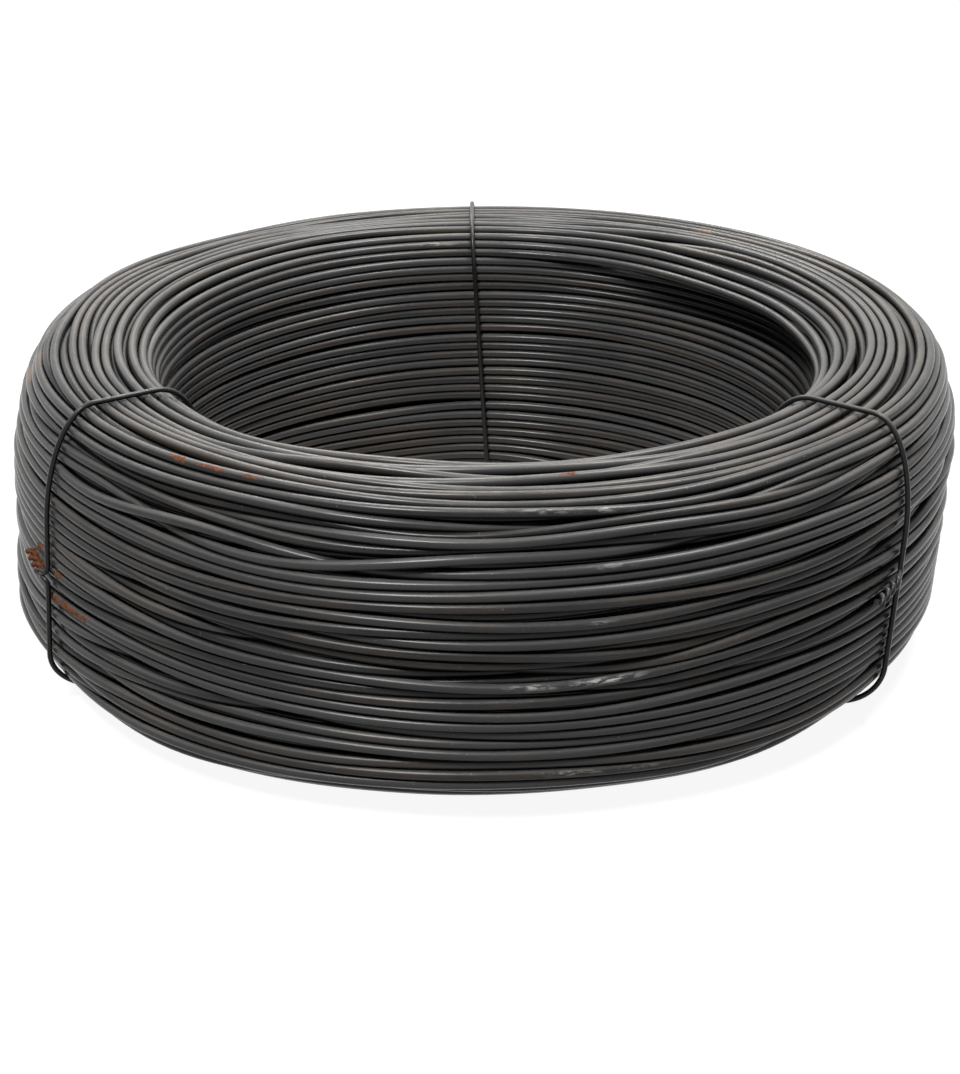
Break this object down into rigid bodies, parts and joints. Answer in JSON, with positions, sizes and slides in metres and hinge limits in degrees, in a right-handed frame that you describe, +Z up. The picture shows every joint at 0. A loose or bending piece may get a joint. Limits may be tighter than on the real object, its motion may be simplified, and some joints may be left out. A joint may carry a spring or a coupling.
{
  "type": "wire coil",
  "caption": "Coil of dark round steel wire lying flat with an open round eye, its laid turns showing on every side, bound across the ring by twisted tie wires.",
  "frame": {"origin": "on the ground under the middle of the eye", "axes": "+Z up along the eye's axis; -Y towards the side the picture was taken from, +X to the right in the picture"},
  "size_m": [0.4, 0.4046, 0.1287],
  "materials": {
    "coil_wire": "dark oxide skin, satin, with scuffed crests and a little rust",
    "tie_wire": "dull grey, with a little rust at a knot"
  },
  "bodies": {
    "root": {"wire_coil": "coil_wire", "tie_back": "tie_wire", "tie_left": "tie_wire", "tie_right": "tie_wire"}
  },
  "joints": []
}
